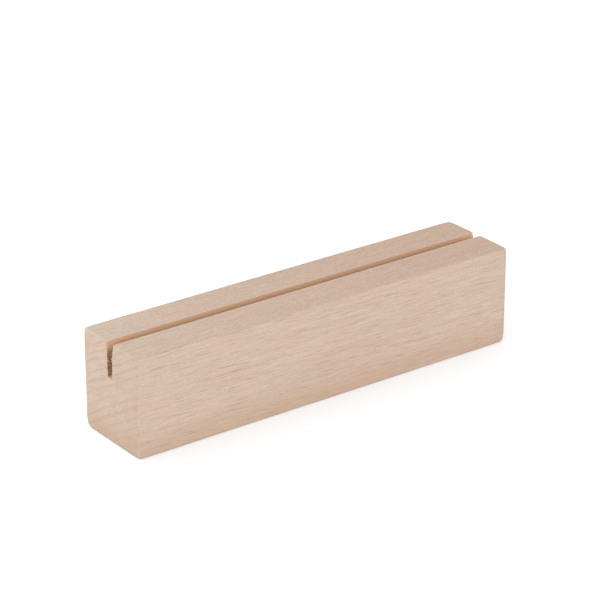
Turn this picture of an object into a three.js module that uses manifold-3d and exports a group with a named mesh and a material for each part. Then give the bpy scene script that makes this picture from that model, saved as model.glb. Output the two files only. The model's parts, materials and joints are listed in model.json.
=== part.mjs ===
// Table number holder: one block of solid beech with a slot sawn along its top, in which a card or a
// thin sign stands upright. Nothing is glued, screwed or hinged to it.
//
// Millimetres, +Z up. +X runs along the block and its slot, and -Y is the front face. The origin is the
// middle of the flat underside, so the block stands on z = 0.
import * as THREE from "three";
import { RoundedBoxGeometry } from "three/addons/geometries/RoundedBoxGeometry.js";
import { mergeVertices } from "three/addons/utils/BufferGeometryUtils.js";
import Module from "manifold-3d";

// The planed block. Its ends are cross-cut square, and sanding has only just rounded its arrises.
const BLOCK_LENGTH = 150;
const BLOCK_WIDTH = 30.7;
const BLOCK_HEIGHT = 34.8;
const ARRIS_RADIUS = 0.6;
const ARRIS_SEGMENTS = 4;

// The slot. A thick grooving blade makes it in one pass, end to end, after the sanding, so its lips stay
// sharp.
const SLOT_WIDTH = 3.9;
const SLOT_DEPTH = 12.4;
const SLOT_FLOOR_RADIUS = 0.6;
const FLOOR_ARC_SEGMENTS = 4;

// How far the cutter runs past the block's top and both its ends, so that it cuts them cleanly.
const CUTTER_OVERRUN = 5;

const BEECH_COLOUR = 0xd8bda2;
const BEECH_ROUGHNESS = 0.62;

const wasm = await Module();
wasm.setup();

// A closed three.js geometry as a manifold-3d solid.
function solidOf(geometry) {
  const bare = geometry.clone();
  bare.deleteAttribute("normal");
  bare.deleteAttribute("uv");
  const merged = mergeVertices(bare);
  const mesh = new wasm.Mesh({
    numProp: 3,
    vertProperties: new Float32Array(merged.attributes.position.array),
    triVerts: new Uint32Array(merged.index.array),
  });
  return new wasm.Manifold(mesh);
}

// A manifold-3d solid as a three.js geometry with flat shading.
function geometryOf(solid) {
  const mesh = solid.getMesh();
  const shared = new THREE.BufferGeometry();
  shared.setAttribute("position", new THREE.BufferAttribute(mesh.vertProperties, mesh.numProp));
  shared.setIndex(new THREE.BufferAttribute(mesh.triVerts, 1));
  const flat = shared.toNonIndexed();
  flat.computeVertexNormals();
  return flat;
}

// The block before it is slotted, standing on z = 0.
function roundedBlock() {
  const block = new RoundedBoxGeometry(
    BLOCK_LENGTH,
    BLOCK_WIDTH,
    BLOCK_HEIGHT,
    ARRIS_SEGMENTS,
    ARRIS_RADIUS,
  );
  return block.translate(0, 0, BLOCK_HEIGHT / 2);
}

// What the saw takes away: a flat-bottomed groove whose two floor corners are round, drawn as a section
// across the block and swept along its length.
function slotCutter() {
  const half = SLOT_WIDTH / 2;
  const floor = BLOCK_HEIGHT - SLOT_DEPTH;
  const top = BLOCK_HEIGHT + CUTTER_OVERRUN;
  const arcCentreZ = floor + SLOT_FLOOR_RADIUS;
  const arcCentreY = half - SLOT_FLOOR_RADIUS;
  const section = new THREE.Shape();
  section.moveTo(-half, top);
  section.lineTo(-half, arcCentreZ);
  section.absarc(-arcCentreY, arcCentreZ, SLOT_FLOOR_RADIUS, Math.PI, 1.5 * Math.PI, false);
  section.lineTo(arcCentreY, floor);
  section.absarc(arcCentreY, arcCentreZ, SLOT_FLOOR_RADIUS, 1.5 * Math.PI, 2 * Math.PI, false);
  section.lineTo(half, top);
  section.closePath();

  const run = BLOCK_LENGTH + 2 * CUTTER_OVERRUN;
  const cutter = new THREE.ExtrudeGeometry(section, {
    depth: run,
    bevelEnabled: false,
    curveSegments: FLOOR_ARC_SEGMENTS,
  });
  // The section's own x and y become the block's Y and Z, and the sweep becomes its X.
  const turn = new THREE.Matrix4().makeBasis(
    new THREE.Vector3(0, 1, 0),
    new THREE.Vector3(0, 0, 1),
    new THREE.Vector3(1, 0, 0),
  );
  return cutter.applyMatrix4(turn).translate(-run / 2, 0, 0);
}

function beechBlock() {
  const slotted = solidOf(roundedBlock()).subtract(solidOf(slotCutter()));
  const material = new THREE.MeshStandardMaterial({
    color: BEECH_COLOUR,
    roughness: BEECH_ROUGHNESS,
    metalness: 0,
  });
  const mesh = new THREE.Mesh(geometryOf(slotted), material);
  mesh.name = "beech_block";
  return mesh;
}

const group = new THREE.Group();
group.add(beechBlock());

export default group;
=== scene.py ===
import json
import math

import bmesh
import bpy
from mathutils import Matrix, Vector


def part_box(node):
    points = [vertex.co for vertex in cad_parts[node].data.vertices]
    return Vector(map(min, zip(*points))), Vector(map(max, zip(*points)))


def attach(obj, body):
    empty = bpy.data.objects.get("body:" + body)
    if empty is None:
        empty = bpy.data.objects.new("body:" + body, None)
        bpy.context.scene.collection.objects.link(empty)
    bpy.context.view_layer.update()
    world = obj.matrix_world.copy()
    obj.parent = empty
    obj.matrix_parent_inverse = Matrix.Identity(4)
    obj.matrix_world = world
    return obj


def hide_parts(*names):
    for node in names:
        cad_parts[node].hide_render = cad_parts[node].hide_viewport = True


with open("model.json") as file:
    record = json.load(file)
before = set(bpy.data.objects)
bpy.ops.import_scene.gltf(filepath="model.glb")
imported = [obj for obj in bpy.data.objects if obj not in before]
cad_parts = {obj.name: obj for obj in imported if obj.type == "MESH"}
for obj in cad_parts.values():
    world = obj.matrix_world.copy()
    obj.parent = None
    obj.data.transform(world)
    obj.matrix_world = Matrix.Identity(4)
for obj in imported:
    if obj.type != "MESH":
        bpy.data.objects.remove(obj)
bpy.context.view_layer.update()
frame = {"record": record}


# ---- The slotted block ----------------------------------------------------------------------------
# The whole holder is one length of beech: planed, cross-cut square, and sanded until its arrises are
# just round. The slot is sawn afterwards, from end to end, so its lips are sharp and a little torn, and
# the walls inside it keep the marks of the blade.

low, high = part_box("beech_block")
mounts = {mount["name"]: Vector(mount["pos_m"]) for mount in frame["record"]["mounts"]}
slot_floor = mounts["slot_floor"]
slot_width = 2 * (mounts["slot_back_wall"].y - slot_floor.y)
MM = 0.001


class Value:
    """A node's output that can stand in an expression, which adds the Math nodes that it needs."""

    def __init__(self, socket):
        self.socket = socket

    def sibling(self, name):
        """Another output of the same node."""
        return Value(self.socket.node.outputs[name])

    def join(self, operation, *others):
        """A Math node of this value and others, or a Vector Math node where one of them is a vector."""
        operands = [self, *others]
        kind = "ShaderNodeMath"
        if any(is_vector(operand) for operand in operands):
            kind = "ShaderNodeVectorMath"
            operands = [(o, o, o) if isinstance(o, (int, float)) else o for o in operands]
        return Tree(self.socket.id_data).add(kind, {"operation": operation}, dict(enumerate(operands)))

    def scaled(self, number):
        kind = "ShaderNodeVectorMath"
        sockets = {"Vector": self, "Scale": number}
        return Tree(self.socket.id_data).add(kind, {"operation": "SCALE"}, sockets)

    def __add__(self, other):
        return self.join("ADD", other)

    def __radd__(self, other):
        return self + other

    def __sub__(self, other):
        return self.join("SUBTRACT", other)

    def __rsub__(self, other):
        return -self + other

    def __neg__(self):
        return self * -1

    def __mul__(self, other):
        if is_vector(self) and not is_vector(other):
            return self.scaled(other)
        if is_vector(other) and not is_vector(self):
            return other.scaled(self)
        return self.join("MULTIPLY", other)

    def __rmul__(self, other):
        return self * other

    def __truediv__(self, other):
        return self.join("DIVIDE", other)

    def __abs__(self):
        return self.join("ABSOLUTE")

    def dot(self, direction):
        product = self.join("DOT_PRODUCT", direction)
        return product.sibling("Value")

    def part(self, axis):
        """One of a vector's or a colour's three numbers."""
        return Tree(self.socket.id_data).add("ShaderNodeSeparateXYZ", {}, {0: self}, axis)

    def ramp(self, start, end):
        """0 before start, 1 after end, with a soft step between them. start may be the larger."""
        settings = {"interpolation_type": "SMOOTHSTEP"}
        sockets = {"Value": self, "From Min": start, "From Max": end}
        return Tree(self.socket.id_data).add("ShaderNodeMapRange", settings, sockets)


def is_vector(operand):
    if isinstance(operand, Value):
        return operand.socket.type in ("VECTOR", "RGBA")
    return isinstance(operand, (tuple, Vector))


class Tree:
    """A node tree, with one method that adds a node."""

    def __init__(self, tree):
        self.tree = tree

    def add(self, kind, settings, sockets, output=0):
        """Adds a node: its type, its settings, then the values or links of its sockets."""
        node = self.tree.nodes.new(kind)
        for name, setting in settings.items():
            setattr(node, name, setting)
        for key, given in sockets.items():
            if isinstance(given, Value):
                self.tree.links.new(given.socket, node.inputs[key])
            else:
                node.inputs[key].default_value = given
        return Value(node.outputs[output]) if node.outputs else None

    def mix(self, share, first, second):
        """A colour between two."""
        sockets = {0: share, 6: first, 7: second}
        return self.add("ShaderNodeMix", {"data_type": "RGBA"}, sockets, 2)

    def noise(self, place, detail=2.0, roughness=0.5, dimensions="3D"):
        """Soft noise from 0 to 1 that varies over about one unit of place."""
        key = "W" if dimensions == "1D" else "Vector"
        sockets = {key: place, "Scale": 1.0, "Detail": detail, "Roughness": roughness}
        return self.add("ShaderNodeTexNoise", {"noise_dimensions": dimensions}, sockets)


# How the board was cut from the tree, in millimetres. The fibres run along the block and dip a little
# towards its right end. The rings climb from the back face to the front one, and are a little wavy.
RING_CLIMB = math.radians(30)
FIBRE_DIP = math.radians(1.5)
RING_SPACING = 2.9
RING_WANDER = 2.4
RING_RIPPLE = 0.9
RING_DRIFT = 1.2
RING_DRIFT_OVER = 7

# The grain is slid along the block by this much for each millimetre across it, so that its flecks don't
# line up in columns.
STAGGER = 7.3

# The planed wood's own colours. Then painted shade on its top, which on the ends also stands for the
# darker end grain, painted shade near the bottom, a painted highlight along its arrises and lips, and the
# wood in the slot, with scorch and painted shade low down.
PALE = (0.645, 0.493, 0.383, 1)
TAN = (0.60, 0.435, 0.325, 1)
BLUSH = (0.63, 0.43, 0.35, 1)
LATEWOOD = (0.42, 0.28, 0.195, 1)
RAY = (0.30, 0.185, 0.125, 1)
TOP_SHADE_AND_END_GRAIN = (0.56, 0.345, 0.22, 1)
LOW_SHADE = (0.45, 0.27, 0.155, 1)
PALE_HIGHLIGHT = (0.76, 0.64, 0.55, 1)
SAWN = (0.785, 0.51, 0.32, 1)
SCORCHED_AND_SHADED = (0.29, 0.135, 0.05, 1)
FIBRE = (0.66, 0.41, 0.24, 1)

# How much of a ray is full colour, where it fades out, and how pointed its two ends are.
RAY_CORE = 0.25
RAY_EDGE = 0.62
RAY_POINT = 1.3

# One longer and darker streak lies near the left end of the front face: its middle, measured from that
# end and from the top, half its length, half its height, and how deep it goes.
STREAK_FROM_END = 8
STREAK_FROM_TOP = 5.1
STREAK_REACH = 4.6
STREAK_HEIGHT = 0.34
STREAK_DEPTH = 2

# The blade, and how far below the top the wood in the slot turns dark and rough, with scorch and painted
# shade.
BLADE_RADIUS = 125 * MM
TOOTH_SPACING = 3.2
SCORCH_AND_SHADE_START = 4.5
SCORCH_AND_SHADE_FULL = 5.6
SCORCH_AND_SHADE_RAGGED = 2.4
SAWN_FACES = "sawn"


def cut_of_the_board(wood, place):
    """How far a spot lies along the fibres, along the rings, and out from the heart of the tree."""
    sine, cosine = math.sin(RING_CLIMB), math.cos(RING_CLIMB)
    wander = wood.noise(place * (0.008, 0.05, 0.05), detail=1.0) - 0.5
    ripple = wood.noise(place * (0.02, 0.4, 0.4)) - 0.5
    fibre = place.dot((1, 0, -FIBRE_DIP))
    tangent = place.dot((0, -cosine, sine))
    radius = place.dot((FIBRE_DIP, sine, cosine)) + wander * RING_WANDER + ripple * RING_RIPPLE
    return fibre, tangent, radius


def latewood_share(wood, radius):
    """The dark last stretch of each year's ring. Some years are wider and darker than others."""
    drift = wood.noise(radius / RING_DRIFT_OVER, detail=1.0, dimensions="1D") * RING_DRIFT
    rings = radius / RING_SPACING + drift
    year = rings.join("FLOOR")
    season = rings - year
    vigour = wood.add("ShaderNodeTexWhiteNoise", {"noise_dimensions": "1D"}, {"W": year})
    return season.ramp(0.5, 0.94) * season.ramp(1, 0.95) * (vigour * 0.7 + 0.3)


def rays(wood, cut, length, thickness, reach, share):
    """The rays: thin sheets that point at the heart of the tree, seen as flecks where they are cut."""
    fibre, tangent, radius = cut
    staggered = fibre + (tangent + radius) * STAGGER
    sockets = {"X": staggered / length, "Y": tangent / thickness, "Z": radius / reach}
    place = wood.add("ShaderNodeCombineXYZ", {}, sockets)
    sockets = {"Vector": place, "Scale": 1.0, "Exponent": RAY_POINT}
    distance = wood.add("ShaderNodeTexVoronoi", {"distance": "MINKOWSKI"}, sockets)
    chance = distance.sibling("Color").part(0)
    return distance.ramp(RAY_EDGE, RAY_CORE) * chance.ramp(1 - share, 1.12 - share)


def streak_share(place, strands):
    """The one dark streak on the front face, with ragged edges."""
    x, y, z = place.part(0), place.part(1), place.part(2)
    ragged = (strands - 0.5) * 0.5
    along = (x - (low.x / MM + STREAK_FROM_END)) / STREAK_REACH
    up = (z - (high.z / MM - STREAK_FROM_TOP) + ragged) / STREAK_HEIGHT
    front = y.ramp(low.y / MM + STREAK_DEPTH, low.y / MM + STREAK_DEPTH / 2)
    return (along * along + up * up).ramp(1, 0.2) * front


def blade_path(x, z, floor):
    """How far along the block a tooth was when it passed a spot: the teeth leave arcs in the slot."""
    radius = BLADE_RADIUS / MM
    drop = radius + floor - z
    return x + (radius * radius - drop * drop).join("MAXIMUM", 0).join("SQRT")


def sawn_colour(wood, place):
    """The wood inside the slot: darker with depth as painted shade, streaked by the teeth, and dark low
    down with scorch and painted shade.
    """
    x, z = place.part(0), place.part(2)
    floor = slot_floor.z / MM
    depth = high.z / MM - z
    streaks = wood.noise(blade_path(x, z, floor) * 1.3, dimensions="1D")
    mouth = abs(x).ramp(high.x / MM - 4, high.x / MM - 0.5)
    wall = z.ramp(floor + 0.05, floor + 0.4)
    torn = wood.noise(place * (2.0, 3.0, 3.0), detail=3.0, roughness=0.75)
    # Low down the walls turn dark and ragged: scorch from the blade, together with painted shade.
    scorch_and_shade = (depth + torn * SCORCH_AND_SHADE_RAGGED).ramp(SCORCH_AND_SHADE_START, SCORCH_AND_SHADE_FULL) * wall
    colour = wood.mix(streaks.ramp(0.35, 0.7) * 0.13, SAWN, SCORCHED_AND_SHADED)
    # Painted shade: the walls darken with depth, and a little near the slot's mouths.
    colour = wood.mix((depth.ramp(0, 6) * 0.5 + mouth * 0.2) * wall, colour, SCORCHED_AND_SHADED)
    scorched_and_shaded_fibres = wood.mix(torn.ramp(0.42, 0.62), SCORCHED_AND_SHADED, FIBRE)
    return wood.mix(scorch_and_shade * 0.9, colour, scorched_and_shaded_fibres)


def beech():
    """Pale steamed beech, fine-sanded and unfinished, solid through the block."""
    material = bpy.data.materials.new("beech")
    material.use_nodes = True
    material.node_tree.nodes.clear()
    wood = Tree(material.node_tree)
    spot = wood.add("ShaderNodeTexCoord", {}, {}, "Object")
    place = spot * (1 / MM)
    x, y, z = place.part(0), place.part(1), place.part(2)
    cut = cut_of_the_board(wood, place)
    tangent, radius = cut[1:]

    # Where the surface is an end, the top or an arris, by the way it faces.
    facing = spot.sibling("Normal")
    leans = abs(facing)
    end_grain = leans.part(0).ramp(0.2, 0.65)
    facing_up = facing.part(2).ramp(0.2, 0.65)
    squarest = leans.part(0).join("MAXIMUM", leans.part(1)).join("MAXIMUM", leans.part(2))
    arris = squarest.ramp(0.97, 0.75)

    # The grain. A pattern's three numbers say how often it changes in a millimetre along the block,
    # across it and up it.
    sockets = {"X": x + (y + z) * STAGGER, "Y": y, "Z": z - x * FIBRE_DIP}
    sloping = wood.add("ShaderNodeCombineXYZ", {}, sockets)
    pores = wood.noise(place * (0.9, 2.6, 2.6), detail=3.0, roughness=0.75)
    strands = wood.noise(sloping * (0.12, 3.2, 3.2), detail=3.0, roughness=0.65)
    grain = wood.noise(sloping * (0.045, 1.6, 1.6), detail=3.0, roughness=0.65)
    mottle = wood.noise(place * (0.014, 0.12, 0.12))
    blush = wood.noise(place * (0.05, 0.3, 0.3) + 60)

    # The rays, which stand closer in some lines than in others, and hardly show on the ends.
    crowd = wood.noise(sloping * (0.03, 1.1, 1.1)).ramp(0.35, 0.65) * 0.35
    side_grain = 1 - end_grain * 0.75
    long_rays = rays(wood, cut, length=11.0, thickness=0.21, reach=12.0, share=crowd + 0.14) * side_grain
    short_rays = rays(wood, cut, length=5.5, thickness=0.19, reach=5.0, share=crowd + 0.25) * side_grain

    # On the ends each ring shows its own thin layers, which the cross-cut has roughened unevenly.
    section = wood.add("ShaderNodeCombineXYZ", {}, {"X": x, "Y": tangent * 0.16, "Z": radius * 1.5})
    layers = wood.noise(section, detail=3.0, roughness=0.6)
    rough = wood.noise(place * (0.1, 0.2, 0.2) + 20, detail=3.0, roughness=0.6)
    layered = layers.ramp(0.42, 0.72) * (rough.ramp(0.3, 0.7) * 0.55 + 0.2)
    # The ends are darkened unevenly where roughened, and darker towards the front as painted shade.
    dulled_and_shaded = rough.ramp(0.4, 0.7) * 0.15 + y.ramp(0, -11) * 0.13

    # Painted shade near the table: the colour darkens over the lowest 12 mm, a little more in the left
    # half.
    bottom_shade = z.ramp(12, 1) * (x.ramp(50, -10) * 0.1 + 0.24)

    colour = wood.mix(mottle.ramp(0.3, 0.75) * 0.6, PALE, TAN)
    colour = wood.mix(blush.ramp(0.4, 0.7) * 0.6, colour, BLUSH)
    colour = wood.mix(latewood_share(wood, radius) * (0.1 + end_grain * 0.5), colour, LATEWOOD)
    colour = wood.mix(layered * end_grain, colour, LATEWOOD)
    colour = wood.mix(dulled_and_shaded * end_grain, colour, LATEWOOD)
    colour = wood.mix(grain.ramp(0.35, 0.75) * 0.26, colour, LATEWOOD)
    colour = wood.mix(strands.ramp(0.4, 0.75) * 0.42, colour, LATEWOOD)
    colour = wood.mix(pores.ramp(0.35, 0.75) * (facing_up * 0.58 + 0.4), colour, LATEWOOD)
    colour = wood.mix(short_rays * 0.27, colour, RAY)
    colour = wood.mix(long_rays * 0.38, colour, RAY)
    # Painted shade: faces that look up are darker and warmer, as the top is lit less than the front; on
    # the ends the same colour is partly the darker end grain and partly painted shade.
    colour = wood.mix(facing_up.join("MAXIMUM", end_grain * 0.9) * 0.25, colour, TOP_SHADE_AND_END_GRAIN)
    colour = wood.mix(bottom_shade, colour, LOW_SHADE)
    # Painted highlight along the arrises.
    colour = wood.mix(arris * 0.1, colour, PALE_HIGHLIGHT)
    colour = wood.mix(streak_share(place, strands) * 0.42, colour, RAY)

    # The saw has lifted the fibres along the two lips, which also carry a painted highlight, and cut the
    # faces that are marked as its own.
    half_slot = slot_width / MM / 2
    across = abs(y - slot_floor.y / MM)
    lip = across.ramp(half_slot + 0.5, half_slot + 0.1) * (high.z / MM - z).ramp(0.5, 0.2)
    colour = wood.mix(lip * 0.2, colour, PALE_HIGHLIGHT)
    sawn = wood.add("ShaderNodeAttribute", {"attribute_name": SAWN_FACES}, {}, "Fac")
    colour = wood.mix(sawn, colour, sawn_colour(wood, place))

    height = strands * 0.5 + pores * 0.5 + grain * 0.4 - short_rays * 0.25 - long_rays * 0.35
    sockets = {"Strength": 0.3, "Distance": 0.1 * MM, "Height": height}
    bump = wood.add("ShaderNodeBump", {}, sockets)
    sockets = {
        "Base Color": colour,
        "Roughness": 0.56 + strands * 0.12 - long_rays * 0.08 + end_grain * 0.1,
        "Normal": bump,
        "Specular IOR Level": 0.4,
    }
    shader = wood.add("ShaderNodeBsdfPrincipled", {}, sockets)
    wood.add("ShaderNodeOutputMaterial", {}, {"Surface": shader})
    return material


def geometry_tree(name, inputs):
    """A Geometry Nodes tree with named inputs. Gives the tree, and its inputs as values."""
    group = bpy.data.node_groups.new(name, "GeometryNodeTree")
    group.interface.new_socket(name="Geometry", in_out="OUTPUT", socket_type="NodeSocketGeometry")
    for label, setting in inputs.items():
        kind = "Material" if isinstance(setting, bpy.types.Material) else "Float"
        if isinstance(setting, Vector):
            kind = "Vector"
        group.interface.new_socket(name=label, in_out="INPUT", socket_type="NodeSocket" + kind)
    tree = Tree(group)
    first = tree.add("NodeGroupInput", {}, {})
    return tree, {label: first.sibling(label) for label in inputs}


def end_tree(tree, geometry, material):
    """Ends a tree with real geometry in one material."""
    whole = tree.add("GeometryNodeRealizeInstances", {}, {"Geometry": geometry})
    painted = tree.add("GeometryNodeSetMaterial", {}, {"Geometry": whole, "Material": material})
    tree.add("NodeGroupOutput", {}, {"Geometry": painted})


def grow(name, tree, inputs):
    """Runs a tree and gives what it makes as a plain mesh object at the origin."""
    holder = bpy.data.objects.new(name + "_tree", bpy.data.meshes.new(name + "_tree"))
    bpy.context.scene.collection.objects.link(holder)
    modifier = holder.modifiers.new("tree", "NODES")
    modifier.node_group = tree.tree
    for item in tree.tree.interface.items_tree:
        if item.in_out == "INPUT":
            modifier[item.identifier] = inputs[item.name]
    evaluated = holder.evaluated_get(bpy.context.evaluated_depsgraph_get())
    mesh = bpy.data.meshes.new_from_object(evaluated)
    bpy.data.objects.remove(holder)
    piece = bpy.data.objects.new(name, mesh)
    bpy.context.scene.collection.objects.link(piece)
    return piece


# How far a spot leans away from the side that it faces most: 0 on a side, this on the middle of an arris.
ARRIS_LEAN = 0.29


def sanded_block(tree, given):
    """The block before it is slotted: an even grid bent round its arrises, a little worn by sanding."""
    size, radius, steps = given["Size"], given["Arris Radius"], given["Arris Steps"]
    half = size * 0.5
    cells = ((size - radius * 2) / given["Cell"]).join("CEIL") + steps * 2
    sockets = {"Size": (2, 2, 2)}
    for axis, letter in enumerate("XYZ"):
        sockets["Vertices " + letter] = cells.part(axis) + 1
    cube = tree.add("GeometryNodeMeshCube", {}, sockets)

    spot = tree.add("GeometryNodeInputPosition", {}, {})
    rim = steps * 2 / cells
    flat = spot.join("MINIMUM", 1 - rim).join("MAXIMUM", rim - 1)
    outward = ((spot - flat) / rim * (math.pi / 4)).join("TANGENT").join("NORMALIZE")
    surface = flat / (1 - rim) * (half - radius) + outward * radius

    corner = surface.join("SIGN")
    depth = (half - abs(surface)).dot((1, 1, 1))
    near = (given["Corner Reach"] - depth).join("MAXIMUM", 0) / given["Corner Reach"]
    sockets = {"Vector": corner, "W": given["Seed"]}
    luck = tree.add("ShaderNodeTexWhiteNoise", {"noise_dimensions": "4D"}, sockets)
    worn = surface - corner * (near * near * given["Corner Wear"] * (luck * 1.2 + 0.4))

    place = surface * (1 / MM)
    leans = abs(outward)
    squarest = leans.part(0).join("MAXIMUM", leans.part(1)).join("MAXIMUM", leans.part(2))
    arris = (1 - squarest).ramp(0, ARRIS_LEAN)
    waves = tree.noise(place * 0.05, detail=1.0) * given["Unevenness"]
    rubbed = tree.noise(place * 0.12 + 40).ramp(0.3, 0.75) * given["Arris Wear"]
    knocks = tree.noise(place * 0.42 + 80, detail=1.0).ramp(0.66, 0.78) * given["Dents"]
    worn = worn - outward * (waves + arris * (rubbed + knocks))
    lifted = worn + tree.add("ShaderNodeCombineXYZ", {}, {"Z": half.part(2)})
    return tree.add("GeometryNodeSetPosition", {}, {"Geometry": cube, "Position": lifted})


# In millimetres: how far in from its two mouths the slot is torn, how near to them it is torn most, how
# far below the top the tearing starts and is full, and how far down the chip at the right end goes.
TORN_REACH = 1.6
TORN_MOST = 0.3
TORN_BELOW = 2.6
TORN_FULLY_BELOW = 3.8
CHIP_DEPTH = 4

# How far below the top the loose fibres in the left mouth start, and where they are at their thickest.
FUZZ_BELOW = 0.5
FUZZ_FULLY_BELOW = 5


def saw_cut(tree, given):
    """What the blade takes away: a bar with round corners whose walls carry the blade's marks."""
    middle, size, cell = given["Slot Middle"], given["Slot Size"], given["Slot Cell"]
    sockets = {"Width": size.part(1), "Height": size.part(2)}
    section = tree.add("GeometryNodeCurvePrimitiveQuadrilateral", {"mode": "RECTANGLE"}, sockets)
    sockets = {"Curve": section, "Count": 4, "Radius": given["Slot Floor Radius"]}
    section = tree.add("GeometryNodeFilletCurve", {"mode": "POLY"}, sockets)
    sockets = {"Curve": section, "Length": cell}
    section = tree.add("GeometryNodeResampleCurve", {"mode": "LENGTH"}, sockets)
    half_run = size.part(0) * 0.5
    reach = tree.add("ShaderNodeCombineXYZ", {}, {"X": half_run})
    sockets = {"Start": middle - reach, "End": middle + reach}
    pass_line = tree.add("GeometryNodeCurvePrimitiveLine", {}, sockets)
    sockets = {"Curve": pass_line, "Length": cell * 2}
    pass_line = tree.add("GeometryNodeResampleCurve", {"mode": "LENGTH"}, sockets)

    # The steps along the slot get finer towards its mouths, where the wood is torn.
    along = tree.add("GeometryNodeInputPosition", {}, {}).part(0) / half_run
    finer = (along - along * along * along) * 0.5 * half_run
    shift = tree.add("ShaderNodeCombineXYZ", {}, {"X": finer})
    pass_line = tree.add("GeometryNodeSetPosition", {}, {"Geometry": pass_line, "Offset": shift})
    sockets = {"Curve": pass_line, "Profile Curve": section, "Fill Caps": True}
    bar = tree.add("GeometryNodeCurveToMesh", {}, sockets)

    # What the walls carry, as a move across the slot. outward is 1 on the back wall and -1 on the front.
    place = tree.add("GeometryNodeInputPosition", {}, {}) * (1 / MM)
    x, z = place.part(0), place.part(2)
    floor = (middle - size * 0.5).part(2) * (1 / MM)
    depth = given["Size"].part(2) * (1 / MM) - z
    end = given["Size"].part(0) * (0.5 / MM)
    outward = tree.add("GeometryNodeInputNormal", {}, {}).part(1)
    marks = (blade_path(x, z, floor) * (2 * math.pi / TOOTH_SPACING)).join("SINE") * given["Saw Marks"]

    mouths = abs(x).ramp(end - TORN_REACH, end - TORN_MOST)
    torn = mouths * depth.ramp(TORN_BELOW, TORN_FULLY_BELOW) + depth.ramp(0.6, 0) * 0.1
    frayed = (tree.noise(place * 3.4, detail=3.0, roughness=0.85) - 0.5) * torn * given["Tears"]

    # The loose fibres stand out by all of Fuzz on the front wall and by a quarter of it on the back one.
    left_mouth = x.ramp(-end + TORN_REACH, -end + TORN_MOST)
    standing = depth.ramp(FUZZ_BELOW, FUZZ_FULLY_BELOW) * (0.375 - outward * 0.625)
    fuzz = left_mouth * standing * given["Fuzz"]
    back_wall = outward.join("MAXIMUM", 0)
    chip = x.ramp(end - TORN_REACH, end) * depth.ramp(CHIP_DEPTH, 0) * back_wall * given["Chip"]

    # The front wall comes a little nearer to the back one towards the slot's right end.
    front_wall = (outward * -1).join("MAXIMUM", 0)
    narrowing = (x / end * 0.5 + 0.5) * front_wall * given["Narrowing"]
    sockets = {"Y": outward * (marks + frayed) + fuzz + chip + narrowing}
    offset = tree.add("ShaderNodeCombineXYZ", {}, sockets)
    return tree.add("GeometryNodeSetPosition", {}, {"Geometry": bar, "Offset": offset})


def marked(tree, geometry, share):
    """Tells the material which faces the saw has made: 1 on those, 0 on the others."""
    settings = {"data_type": "FLOAT", "domain": "FACE"}
    sockets = {"Geometry": geometry, "Name": SAWN_FACES, "Value": share}
    return tree.add("GeometryNodeStoreNamedAttribute", settings, sockets)


# The cut runs this far past the block's top and ends. An edge that turns more than this stays sharp.
PAST_THE_BLOCK = 1 * MM
SHARP = math.radians(35)

cut_low = Vector((low.x - PAST_THE_BLOCK, slot_floor.y - slot_width / 2, slot_floor.z))
cut_high = Vector((high.x + PAST_THE_BLOCK, slot_floor.y + slot_width / 2, high.z + PAST_THE_BLOCK))
block_inputs = {
    "Size": high - low,
    "Arris Radius": 0.6 * MM,
    "Arris Steps": 4.0,
    "Cell": 0.9 * MM,
    "Corner Wear": 0.26 * MM,
    "Corner Reach": 4.5 * MM,
    "Arris Wear": 0.12 * MM,
    "Dents": 0.25 * MM,
    "Unevenness": 0.08 * MM,
    "Slot Middle": (cut_low + cut_high) / 2,
    "Slot Size": cut_high - cut_low,
    "Slot Floor Radius": 0.6 * MM,
    "Slot Cell": 0.25 * MM,
    "Saw Marks": 0.02 * MM,
    "Tears": 3.2 * MM,
    "Fuzz": 0.9 * MM,
    "Chip": 1.0 * MM,
    "Narrowing": 0.35 * MM,
    "Weld": 0.004 * MM,
    "Seed": 1023.0,
    "Material": beech(),
}
block_tree, given = geometry_tree("Slotted block", block_inputs)
whole = marked(block_tree, sanded_block(block_tree, given), 0.0)
waste = marked(block_tree, saw_cut(block_tree, given), 1.0)
settings = {"operation": "DIFFERENCE", "solver": "EXACT"}
slotted = block_tree.add("GeometryNodeMeshBoolean", settings, {"Mesh 1": whole, "Mesh 2": waste})
sockets = {"Geometry": slotted, "Distance": given["Weld"]}
slotted = block_tree.add("GeometryNodeMergeByDistance", {}, sockets)
slotted = block_tree.add("GeometryNodeSetShadeSmooth", {"domain": "FACE"}, {"Geometry": slotted})
crease = block_tree.add("GeometryNodeInputMeshEdgeAngle", {}, {}).join("GREATER_THAN", SHARP)
sockets = {"Geometry": slotted, "Selection": crease, "Shade Smooth": False}
slotted = block_tree.add("GeometryNodeSetShadeSmooth", {"domain": "EDGE"}, sockets)
end_tree(block_tree, slotted, given["Material"])

block = grow("slotted_beech_block", block_tree, block_inputs)

# Where the slot's walls meet its lips, their faces have many corners. Each is cut into triangles round
# its own middle, so that no triangle of a wall lies on one of the top's.
QUAD = 4
mesh = bmesh.new()
mesh.from_mesh(block.data)
share = mesh.faces.layers.float[SAWN_FACES]
many_cornered = [face for face in mesh.faces if face[share] > 0.5 and len(face.verts) > QUAD]
bmesh.ops.poke(mesh, faces=many_cornered)
mesh.to_mesh(block.data)
mesh.free()

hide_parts("beech_block")
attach(block, "root")


# ---- The table ------------------------------------------------------------------------------------
# A plain white table under the block, much larger than what the camera sees. It glows faintly, so that
# the block's shadow on it stays very pale.

TABLE_HALF = 1.5
WHITE = (0.96, 0.96, 0.96, 1)
WHITE_GLOW = (0.8, 0.95, 1, 1)
GLOW = 0.15

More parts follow.
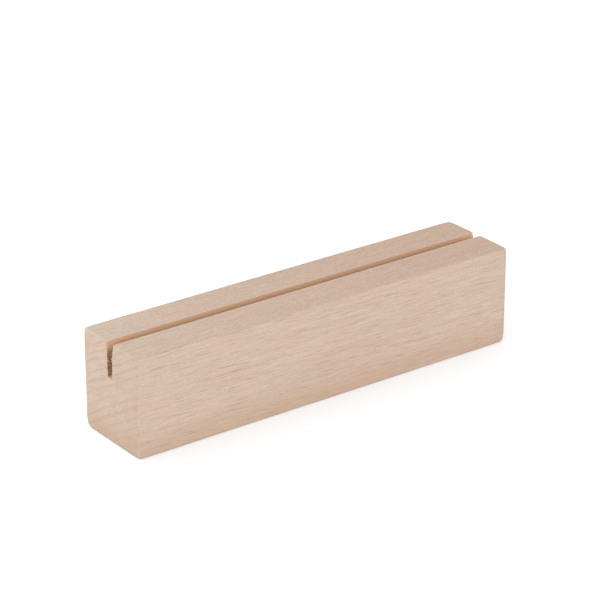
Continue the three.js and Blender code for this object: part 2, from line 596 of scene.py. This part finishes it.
table_mesh = bpy.data.meshes.new("table")
corners = [(x * TABLE_HALF, y * TABLE_HALF, low.z) for x, y in ((-1, -1), (1, -1), (1, 1), (-1, 1))]
table_mesh.from_pydata(corners, [], [(0, 1, 2, 3)])
white = bpy.data.materials.new("white_table")
white.use_nodes = True
paint = white.node_tree.nodes["Principled BSDF"].inputs
paint["Base Color"].default_value = WHITE
paint["Roughness"].default_value = 0.9
paint["Specular IOR Level"].default_value = 0.1
paint["Emission Color"].default_value = WHITE_GLOW
paint["Emission Strength"].default_value = GLOW
table_mesh.materials.append(white)
table = bpy.data.objects.new("table", table_mesh)
bpy.context.scene.collection.objects.link(table)


# ---- Light and camera -----------------------------------------------------------------------------
# A white tent lights the block evenly from all sides. One large soft lamp stands to the front left, and
# a small bluish one close behind the left end takes the warmth out of the top there.

world = bpy.data.worlds.new("tent")
world.use_nodes = True
tent = world.node_tree.nodes["Background"].inputs
tent["Color"].default_value = (1, 1, 1, 1)
tent["Strength"].default_value = 1.0
bpy.context.scene.world = world
bpy.context.scene.view_settings.view_transform = "Standard"

middle = (low + high) / 2


def aim(thing, target):
    """Turns a lamp or the camera to look at a point."""
    thing.rotation_euler = (target - thing.location).to_track_quat("-Z", "Y").to_euler()


def seen_from(azimuth, elevation, distance, target):
    """The point at that distance from target. Azimuth 0 is in front, and grows towards the right."""
    turn, rise = math.radians(azimuth), math.radians(elevation)
    away = Vector((math.sin(turn) * math.cos(rise), -math.cos(turn) * math.cos(rise), math.sin(rise)))
    return target + away * distance


def softbox(name, place, size, power, colour):
    """A square lamp that looks at the block."""
    lamp = bpy.data.lights.new(name, "AREA")
    lamp.size = size
    lamp.energy = power
    lamp.color = colour
    holder = bpy.data.objects.new(name, lamp)
    holder.location = place
    holder.visible_camera = False
    aim(holder, middle)
    bpy.context.scene.collection.objects.link(holder)


front_left = seen_from(azimuth=-35, elevation=12, distance=1.2, target=middle)
back_left = Vector((-0.12, 0.08, 0.12))
softbox("front_left", front_left, size=0.9, power=4.3, colour=(0.7, 0.84, 1.0))
softbox("back_left", back_left, size=0.05, power=0.09, colour=(0.4, 0.76, 1.0))

# The camera looks from the front left and above, at a spot a little above and behind the block's middle.
LOOKS_BESIDE_THE_MIDDLE = Vector((2.06, 4.16, 10.35)) * MM
target = middle + LOOKS_BESIDE_THE_MIDDLE
camera = bpy.data.cameras.new("camera")
camera.lens = 157.38
camera.sensor_width = 36
view = bpy.data.objects.new("camera", camera)
view.location = seen_from(azimuth=-36.57, elevation=23.83, distance=0.8653, target=target)
aim(view, target)
bpy.context.scene.collection.objects.link(view)
bpy.context.scene.camera = view
